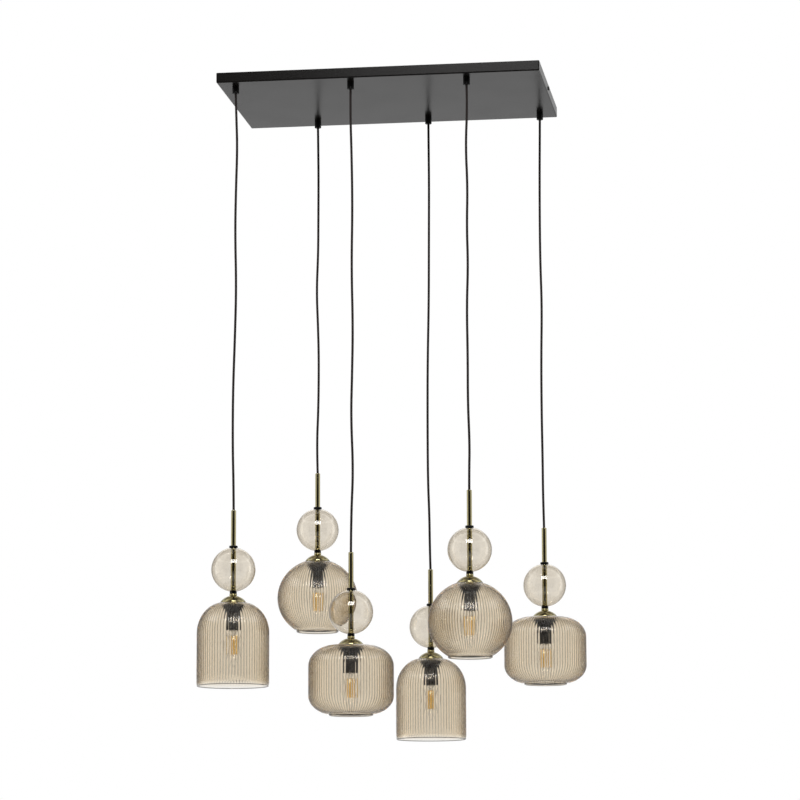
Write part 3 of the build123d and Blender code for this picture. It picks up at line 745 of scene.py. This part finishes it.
def shade_outline(form, radius, height):
    """Outline down the crests outside and up the smooth inside, and where the flutes run."""
    flat, upper = form["flat"], form["upper"]
    reach = radius - flat
    inner_reach = reach - flute_depth - shade_wall
    land_angle = math.acos(max(land_radius - flat, 0) / reach)
    upper_centre = -upper * math.sin(land_angle)
    outer = [(shade_hole_radius, -shade_hole_bevel), (shade_hole_radius + shade_hole_bevel, 0.0)]
    outer.append((land_radius - land_rounding, 0.0))
    outer += shoulder(flat, reach, upper, upper_centre, land_angle, 0.0, 26)
    inner_start = math.asin(min(1.0, (-shade_wall - upper_centre) / (upper - shade_wall)))
    if "lower" in form:
        ledge = collar_radius + collar_ledge
        mouth = collar_radius - shade_wall
        lower, collar_height = form["lower"], form["collar"]
        ledge_angle = -math.acos((ledge - flat) / reach)
        lower_centre = -height + collar_height - lower * math.sin(ledge_angle)
        outer += [(radius, z) for z in np.linspace(upper_centre, lower_centre, 7)[1:-1]]
        outer += shoulder(flat, reach, lower, lower_centre, 0.0, ledge_angle, 24)
        mouth_angle = -math.acos((mouth - flat) / inner_reach)
        step_down = -height + collar_height
        plain_from = len(outer)
        outer += rounded([
            (ledge - 0.2 * mm, step_down - 0.5 * mm, 0.2 * mm),
            (collar_radius, step_down - 0.6 * mm, 0.4 * mm),
            (collar_radius, -height, rim_rounding),
            (mouth, -height, rim_rounding),
            (mouth, step_down, 0.0),
        ])
        inner = shoulder(flat, inner_reach, lower - shade_wall, lower_centre, mouth_angle, 0.0, 16)
    else:
        lower_centre = -height + form["rim"] + flute_fade_width
        plain = radius - bell_rim_inset
        outer += [(radius, z) for z in np.linspace(upper_centre, lower_centre, 9)[1:]]
        outer += [(radius, -height + form["rim"] + share * flute_fade_width) for share in (0.66, 0.33)]
        plain_from = len(outer)
        outer += rounded([
            (plain, -height + form["rim"], 0.0),
            (plain, -height, rim_rounding),
            (plain - shade_wall, -height, rim_rounding),
        ])
        inner = []
    inner_radius = flat + inner_reach
    inner += [(inner_radius, z) for z in np.linspace(lower_centre, upper_centre, 6)]
    inner += shoulder(flat, inner_reach, upper - shade_wall, upper_centre, 0.0, inner_start, 18)[1:]
    inner.append((shade_hole_radius + shade_hole_bevel, -shade_wall))
    inner.append((shade_hole_radius, -shade_wall + shade_hole_bevel))
    return outer, inner, plain_from


def fluted_shade(name, form, node):
    """Closed glass wall: crests follow the outline, valleys lie inside it, and both fade out."""
    low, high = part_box(node)
    radius = (high.x - low.x) / 2
    outer, inner, plain_from = shade_outline(form, radius, high.z - low.z)
    outline = np.array([*outer, *inner])
    around = form["flutes"] * points_per_flute
    flute_phase = np.arange(around) / points_per_flute
    crest = np.abs(np.sin(math.pi * flute_phase))
    fade = np.zeros(len(outline))
    fade[:plain_from] = np.clip((outline[:plain_from, 0] - land_radius) / flute_fade_width, 0, 1)
    hops = np.linalg.norm(np.diff(outline[:plain_from], axis=0), axis=1)
    to_plain = np.append(np.cumsum(hops[::-1])[::-1], 0.0)
    fade[:plain_from] *= np.clip(to_plain / flute_fade_width, 0, 1)
    valley = fade[:, None] * (1 - crest[None]) ** flute_sharpness
    reach = outline[:, :1] - flute_depth * valley
    angle = 2 * math.pi * np.arange(around) / around
    height = np.repeat(outline[:, 1:], around, axis=1)
    rings = np.stack([reach * np.cos(angle), reach * np.sin(angle), height], axis=-1)
    # Painted shade: the rim's lowest rows get a low flute value, so the glass colour there is dark.
    valley[outline[:, 1] < low.z - high.z + rim_edge_height] = rim_edge_painted_shade
    return surface_of_rings(name, rings, closed=True, sharp_angle=80, flute=1 - valley)


def fluted_smoke():
    """Smoke-amber glass with painted shade in the flute valleys and on the rim's edge, and a glint on the
    side of each flute.
    """
    material, tree, surface = smoked_glass("fluted_smoke_amber_glass", shade_index, shade_waves, shade_smoke)
    crest = shader_node(tree, "ShaderNodeAttribute", attribute_name="flute").outputs["Fac"]
    clear_share = between(tree, crest, 0.0, 1.0, end=valley_width)
    # Painted shade: the glass's colour goes dark where the flute value is low, in the valleys and on the
    # rim's edge.
    tint = blend_colours(tree, clear_share, valley_painted_shade, glass_clear)
    tree.links.new(tint, surface.inputs["Base Color"])
    tree.links.new(bump_normal(tree, crest, glint_depth), surface.inputs["Coat Normal"])
    set_plain(surface, Coat_Weight=0.7, Coat_Roughness=0.25)
    return material


fluted_glass = fluted_smoke()
shade_forms = {"bell_shade": bell, "round_shade": ball_like, "drum_shade": drum}
shade_meshes = {}
shade_seat = Vector((0, 0, shade_top))
for node in sorted(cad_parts):
    kind, _, digit = node.rpartition("_")
    if kind not in shade_forms:
        continue
    if kind not in shade_meshes:
        shade_meshes[kind] = fluted_shade(f"fluted_{kind}", shade_forms[kind], node)
        shade_meshes[kind].materials.append(fluted_glass)
    number = int(digit)
    add_piece(
        f"fluted_{node}", shade_meshes[kind], f"pendant_{number}", "fluted_glass", node,
        place=plumb_point[number] + shade_seat,
    )

# Shade clamps: black moulded cones inside the glass. Each screws up against the shade, grips it
# between its flange and the brass cap, and carries the lampholder below.
clamp_top = shade_top - shade_wall
clamp_flange_radius = 24.5 * mm
clamp_flange_thickness = 2.2 * mm
clamp_tip_radius = 15.9 * mm
clamp_wall = 2.0 * mm
clamp_spigot_radius = 14.7 * mm
clamp_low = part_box("shade_clamp_1")[0].z - plumb_point[1].z
holder_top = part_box("lamp_holder_1")[1].z - plumb_point[1].z
stem_bore_radius = 5.5 * mm
clamp_outline = rounded([
    (stem_bore_radius, shade_top, 0.2 * mm),
    (clamp_spigot_radius, shade_top, 0.2 * mm),
    (clamp_spigot_radius, clamp_top, 0),
    (clamp_flange_radius, clamp_top, 0.4 * mm),
    (clamp_flange_radius, clamp_top - clamp_flange_thickness, 0.8 * mm),
    (clamp_tip_radius, clamp_low, 0.5 * mm),
    (clamp_tip_radius - clamp_wall, clamp_low, 0.4 * mm),
    (clamp_flange_radius - clamp_wall, holder_top, 0.3 * mm),
    (stem_bore_radius, holder_top, 0.2 * mm),
])
clamp_mesh = turned("shade_clamp_cone", clamp_outline, around=96)
clamp_mesh.materials.append(black_plastic)
hang_on_pendants("shade_clamp_cone", clamp_mesh, "black_plastic", "shade_clamp")

# Lampholders: E14 holders moulded in a grey-black plastic that stands the heat, a stepped body with
# a plain sleeve whose mouth takes the bulb. The stem's thread holds them up inside the clamp.
holder_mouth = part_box("lamp_holder_1")[0].z - plumb_point[1].z
holder_neck_radius = clamp_tip_radius - clamp_wall - 0.1 * mm
holder_body_radius = 15.4 * mm
holder_body_height = 13.0 * mm
holder_sleeve_radius = 13.7 * mm
holder_mouth_radius = 8.5 * mm
holder_mouth_depth = 5.0 * mm
holder_socket_radius = 7.1 * mm
holder_socket_depth = 25.0 * mm
holder_boss_depth = 11.0 * mm
thermoplast_black = (0.012, 0.012, 0.012, 1.0)
thermoplast_grey = (0.022, 0.022, 0.022, 1.0)
thermoplast_roughness = (0.58, 0.66)
holder_outline = rounded([
    (stem_bore_radius, holder_top, 0.2 * mm),
    (holder_neck_radius, holder_top, 0.4 * mm),
    (holder_neck_radius, clamp_low, 0),
    (holder_body_radius, clamp_low, 0.4 * mm),
    (holder_body_radius, clamp_low - holder_body_height, 0.8 * mm),
    (holder_sleeve_radius, clamp_low - holder_body_height, 0.3 * mm),
    (holder_sleeve_radius, holder_mouth, 0.9 * mm),
    (holder_mouth_radius, holder_mouth, 0.6 * mm),
    (holder_mouth_radius, holder_mouth + holder_mouth_depth, 0.2 * mm),
    (holder_socket_radius, holder_mouth + holder_mouth_depth, 0.2 * mm),
    (holder_socket_radius, holder_mouth + holder_socket_depth, 0.3 * mm),
    (0, holder_mouth + holder_socket_depth, 0),
    (0, holder_top - holder_boss_depth, 0),
    (stem_bore_radius, holder_top - holder_boss_depth, 0.3 * mm),
])
holder_mesh = turned("e14_lampholder", holder_outline)
thermoplast = moulded_plastic(
    "grey_black_thermoplast", thermoplast_black, thermoplast_grey, thermoplast_roughness
)
holder_mesh.materials.append(thermoplast)
hang_on_pendants("e14_lampholder", holder_mesh, "black_plastic", "lamp_holder")

# Bulbs: clear candle lamps with an E14 screw base. Four amber-coated filaments stand on wires
# round a glass mount; the glass is thin, with a drawn tip.
bulb_length = 78.0 * mm
bulb_radius = 17.5 * mm
bulb_neck_radius = 6.5 * mm
bulb_belly_drop = 31.0 * mm
bulb_glass_wall = 0.8 * mm
bulb_glass_index = 1.46
bulb_glass_waves = (12 * mm, 0.05 * mm)
base_radius = 6.95 * mm
base_length = 22.0 * mm
contact_radius = 4.0 * mm
thread_pitch = 2.82 * mm
thread_depth = 0.45 * mm
filament_top = holder_mouth - 12.0 * mm
filament_length = 40.0 * mm
filament_bottom = filament_top - filament_length
filament_radius = 1.5 * mm
filament_end_rounding = 0.5 * mm
filament_circle_radius = 8.0 * mm
filament_count = 4
filament_glow = 0.22
mount_top = holder_mouth - 0.2 * mm
mount_radius = 2.5 * mm
mount_rod_radius = 0.45 * mm
wire_radius = 0.22 * mm
upper_wire = [(0.24, 5.0 * mm), (0.35, 2.5 * mm), (0.9, 2.0 * mm), (1.0, -1.0 * mm)]
lower_wire = [(1.0, 1.0 * mm), (0.95, -1.2 * mm), (0.3, -1.8 * mm), (0.05, -2.6 * mm)]
phosphor_amber = (0.95, 0.58, 0.10, 1.0)
phosphor_pale = (0.98, 0.70, 0.20, 1.0)
nickel_light = (0.72, 0.70, 0.66, 1.0)
nickel_dull = (0.50, 0.48, 0.44, 1.0)


def bezier(start, first, second, end, steps):
    """Points of a cubic Bezier curve, without its start."""
    controls = np.array([start, first, second, end], float)
    points = []
    for step in range(1, steps + 1):
        share = step / steps
        rest = 1 - share
        weights = np.array([rest**3, 3 * rest**2 * share, 3 * rest * share**2, share**3])
        points.append(tuple(weights @ controls))
    return points


def candle_side(inset):
    """Side of the candle-shaped glass from the neck down to the tip."""
    neck = (bulb_neck_radius - inset, holder_mouth)
    belly = (bulb_radius - inset, holder_mouth - bulb_belly_drop)
    tip = (0.0, holder_mouth - bulb_length + inset)
    upper = bezier(
        neck, (neck[0] + 2.5 * mm, neck[1] - 6 * mm), (belly[0], belly[1] + 14 * mm), belly, 14
    )
    lower = bezier(belly, (belly[0], belly[1] - 15 * mm), (6 * mm, tip[1] + 3.5 * mm), tip, 22)
    return [neck, *upper, *lower]


def clear_glass():
    wave_size, wave_depth = bulb_glass_waves
    material, tree, surface = new_finish("clear_bulb_glass")
    grain, wave = grain_of(tree, 2 * mm, wave_size)
    tree.links.new(between(tree, grain, 0.0, 0.02), surface.inputs["Roughness"])
    tree.links.new(bump_normal(tree, wave, wave_depth), surface.inputs["Normal"])
    set_plain(surface, Base_Color=glass_clear, Transmission_Weight=1.0, IOR=bulb_glass_index)
    return material


def screw_base():
    """Threaded shell that narrows to the contact, with the thread as a helix."""
    around = 48
    angle = 2 * math.pi * np.arange(around) / around
    contact_height = holder_mouth + base_length
    thread_top = contact_height - contact_radius
    rows = rounded([
        (0, contact_height, 0),
        (contact_radius, contact_height, 0.8 * mm),
        (base_radius - thread_depth, thread_top, 0.8 * mm),
    ])[:-1]
    for height in np.linspace(thread_top - 1 * mm, holder_mouth + 1 * mm, 50):
        wave = np.sin(2 * math.pi * height / thread_pitch - angle)
        rows.append((base_radius - thread_depth * (0.5 - 0.5 * wave), height))
    rows += [(base_radius, holder_mouth), (0, holder_mouth)]
    rings = [
        np.stack([radius * np.cos(angle), radius * np.sin(angle), np.full(around, height)], axis=-1)
        for radius, height in rows
    ]
    return surface_of_rings("threaded_base", np.array(rings), sharp_angle=50)


def nickel():
    material, tree, surface = new_finish("nickel_plate")
    grain, cloud = grain_of(tree, 0.3 * mm, 4 * mm)
    tree.links.new(blend_colours(tree, cloud, nickel_dull, nickel_light), surface.inputs["Base Color"])
    tree.links.new(between(tree, grain, 0.18, 0.32), surface.inputs["Roughness"])
    set_plain(surface, Metallic=1.0)
    return material


def phosphor():
    material, tree, surface = new_finish("amber_phosphor")
    grain, cloud = grain_of(tree, 0.25 * mm, 6 * mm)
    tree.links.new(blend_colours(tree, cloud, phosphor_amber, phosphor_pale), surface.inputs["Base Color"])
    tree.links.new(bump_normal(tree, grain, 0.05 * mm, 0.6), surface.inputs["Normal"])
    # Painted glow: the filaments give off a faint amber light although the bulbs are off.
    set_plain(surface, Roughness=0.45, Emission_Color=phosphor_amber, Emission_Strength=filament_glow)
    return material


envelope_mesh = turned("bulb_glass", [*candle_side(0.0), *reversed(candle_side(bulb_glass_wall))], around=72)
envelope_mesh.materials.append(clear_glass())
base_mesh = screw_base()
base_mesh.materials.append(nickel())

stick_outline = rounded([
    (0.0, filament_length, 0),
    (filament_radius, filament_length, filament_end_rounding),
    (filament_radius, 0, filament_end_rounding),
    (0.0, 0, 0),
])
stick_mesh = turned("filament_stick", stick_outline, around=16, closed=False)
stick_places, wire_parts = [], []
for step in range(filament_count):
    angle = 2 * math.pi * step / filament_count
    x = filament_circle_radius * math.cos(angle)
    y = filament_circle_radius * math.sin(angle)
    stick_places.append((stick_mesh, Vector((x, y, filament_bottom))))
    for bends, end in ((upper_wire, filament_top), (lower_wire, filament_bottom)):
        wire_line = smooth_line([(share * x, share * y, end + rise) for share, rise in bends])
        wire_parts.append((tube_along("filament_wire", wire_line, wire_radius, around=8), Vector((0, 0, 0))))
sticks_mesh = joined("bulb_filaments", stick_places)
sticks_mesh.shade_smooth()
sticks_mesh.materials.append(phosphor())
mount_outline = [
    (0.0, mount_top),
    (mount_radius, mount_top),
    (mount_radius * 0.9, holder_mouth - 3 * mm),
    (mount_radius * 0.55, filament_top + 4 * mm),
    (mount_rod_radius, filament_top + 1 * mm),
    (mount_rod_radius, filament_bottom - 2 * mm),
    (0.0, filament_bottom - 2.6 * mm),
]
mount_mesh = turned("bulb_mount", mount_outline, around=24, closed=False)
wires_mesh = joined("bulb_wires", wire_parts)
wires_mesh.shade_smooth()
wires_mesh.materials.append(base_mesh.materials[0])
mount_mesh.materials.append(envelope_mesh.materials[0])
hang_on_pendants("bulb_glass", envelope_mesh, "clear_bulb_glass", "bulb")
hang_on_pendants("bulb_screw_base", base_mesh, "zinc_steel")
hang_on_pendants("bulb_filaments", sticks_mesh, "clear_bulb_glass")
hang_on_pendants("bulb_mount", mount_mesh, "clear_bulb_glass")
hang_on_pendants("bulb_wires", wires_mesh, "zinc_steel")

# Studio: one soft box above the camera, turned to the lamp, and a round white floor under the lamp
# that fades out towards its edge.
floor_height = -2.05
floor_radius = 6.0
softbox_size = (1.95, 1.25)
softbox_distance = 3.5
softbox_height_angle = 33.5
softbox_turn = 8.1
softbox_radiance = 12.0
floor_white = (0.90, 0.90, 0.89, 1.0)
floor_fade_from = 1.5
floor_glow = 0.6
lamp_middle = Vector((0, 0, (cad_low.z + cad_high.z) / 2))

softbox = bpy.data.objects.new("softbox", bpy.data.lights.new("softbox", "AREA"))
softbox.data.shape = "RECTANGLE"
softbox.data.size, softbox.data.size_y = softbox_size
softbox.data.energy = softbox_radiance * math.pi * softbox_size[0] * softbox_size[1]
turn_angle = math.radians(softbox_turn)
to_camera = Vector((math.sin(turn_angle), -math.cos(turn_angle), 0))
climb = math.radians(softbox_height_angle)
to_softbox = to_camera * math.cos(climb) + Vector((0, 0, math.sin(climb)))
softbox.location = lamp_middle + to_softbox * softbox_distance
softbox.rotation_euler = to_softbox.to_track_quat("Z", "Y").to_euler()
scene.collection.objects.link(softbox)

floor_mesh = bpy.data.meshes.new("floor")
floor_corners = 96
floor_angles = [2 * math.pi * step / floor_corners for step in range(floor_corners)]
floor_mesh.from_pydata(
    [(floor_radius * math.cos(a), floor_radius * math.sin(a), 0) for a in floor_angles],
    [],
    [list(range(floor_corners))],
)
floor = bpy.data.objects.new("floor", floor_mesh)
floor.location.z = floor_height
scene.collection.objects.link(floor)


def pale_floor():
    """White matt floor that fades into the white room and can't be seen from below."""
    material, tree, surface = new_finish("pale_floor")
    output = tree.nodes["Material Output"]
    set_plain(surface, Base_Color=floor_white, Roughness=0.9)
    place = shader_node(tree, "ShaderNodeTexCoord").outputs["Object"]
    length = shader_node(tree, "ShaderNodeVectorMath", {0: place}, operation="LENGTH").outputs["Value"]
    far = between(tree, length, 0.0, 1.0, floor_fade_from, floor_radius * 0.97)
    glow = shader_node(tree, "ShaderNodeEmission", {"Strength": 1.0})
    seen = shader_node(tree, "ShaderNodeLightPath").outputs["Is Camera Ray"]
    share = math_node(tree, "MULTIPLY", seen, floor_glow)
    lit = shader_node(tree, "ShaderNodeMixShader", {0: share, 1: surface.outputs[0], 2: glow.outputs[0]})
    clear = shader_node(tree, "ShaderNodeBsdfTransparent")
    back = shader_node(tree, "ShaderNodeNewGeometry").outputs["Backfacing"]
    gone = math_node(tree, "MAXIMUM", far, back)
    whole = shader_node(tree, "ShaderNodeMixShader", {0: gone, 1: lit.outputs[0], 2: clear.outputs[0]})
    tree.links.new(whole.outputs[0], output.inputs["Surface"])
    return material


floor_mesh.materials.append(pale_floor())

# Room: plain white to the camera. Glass and metal see a tent round the lamp, with a lit seam high
# up. Its light goes by the degrees from straight behind the lamp: bright there and beside the lamp,
# dim in between and dark behind the camera.
room_light = 0.40
tent_white = 0.975
tent_lights = [
    (0, 1.0), (14, 1.0), (26, 0.36), (66, 0.45), (73, 1.9), (83, 1.9), (90, 1.1), (118, 0.9), (133, 0.02),
    (180, 0.02),
]
overhead_from = (0.40, 0.72)
overhead_light = 0.75
seam_height = 0.56
seam_half = 0.05
seam_light = 0.7

world = bpy.data.worlds.new("studio")
world.use_nodes = True
scene.world = world
room = world.node_tree
rays = shader_node(room, "ShaderNodeLightPath").outputs
direction = shader_node(room, "ShaderNodeTexCoord").outputs["Generated"]
up_part = shader_node(room, "ShaderNodeSeparateXYZ", {0: direction}).outputs[2]
flat = shader_node(room, "ShaderNodeVectorMath", {0: direction, 1: (1, 1, 0)}, operation="MULTIPLY")
level = shader_node(room, "ShaderNodeVectorMath", {0: flat.outputs[0]}, operation="NORMALIZE")
sides = {0: level.outputs[0], 1: to_camera}
facing = shader_node(room, "ShaderNodeVectorMath", sides, operation="DOT_PRODUCT").outputs["Value"]

# A mirrored ray sees the whole tent. One that only passed through glass sees the bright part both
# before and behind the lamp, so that the glass is as clear from the back.
mirrored = math_node(room, "GREATER_THAN", rays["Glossy Depth"], 0.5)
through = math_node(room, "MULTIPLY", math_node(room, "ABSOLUTE", facing), -1.0)
seen_side = shader_node(room, "ShaderNodeMix", {0: mirrored, 2: through, 3: facing}).outputs[0]
ramp = shader_node(room, "ShaderNodeValToRGB", {0: between(room, seen_side, 0.0, 1.0, start=-1.0)})
stops = ramp.color_ramp.elements
for place, (degrees, light) in enumerate(tent_lights):
    spot = (1 - math.cos(math.radians(degrees))) / 2
    stop = stops[place] if place < 2 else stops.new(spot)
    stop.position = spot
    stop.color = (tent_white * light,) * 3 + (1.0,)
overhead = between(room, up_part, 1.0, overhead_light, *overhead_from)
off_seam = math_node(room, "ABSOLUTE", math_node(room, "SUBTRACT", up_part, seam_height))
seam = between(room, off_seam, seam_light, 0.0, seam_half, seam_half * 1.3)
tent = math_node(room, "ADD", math_node(room, "MULTIPLY", ramp.outputs[0], overhead), seam)
strength = room_light
for ray, brightness in (("Is Glossy Ray", tent), ("Is Transmission Ray", tent), ("Is Camera Ray", 1.0)):
    strength = shader_node(room, "ShaderNodeMix", {0: rays[ray], 2: strength, 3: brightness}).outputs[0]
room.links.new(strength, room.nodes["Background"].inputs["Strength"])
room.nodes["Background"].inputs["Color"].default_value = (1, 1, 1, 1)

# Light paths: a view through several shades crosses a dozen glass surfaces and more, and each takes
# one bounce.
scene.cycles.max_bounces = 32
scene.cycles.transmission_bounces = 28
scene.cycles.glossy_bounces = 8
scene.cycles.transparent_max_bounces = 16
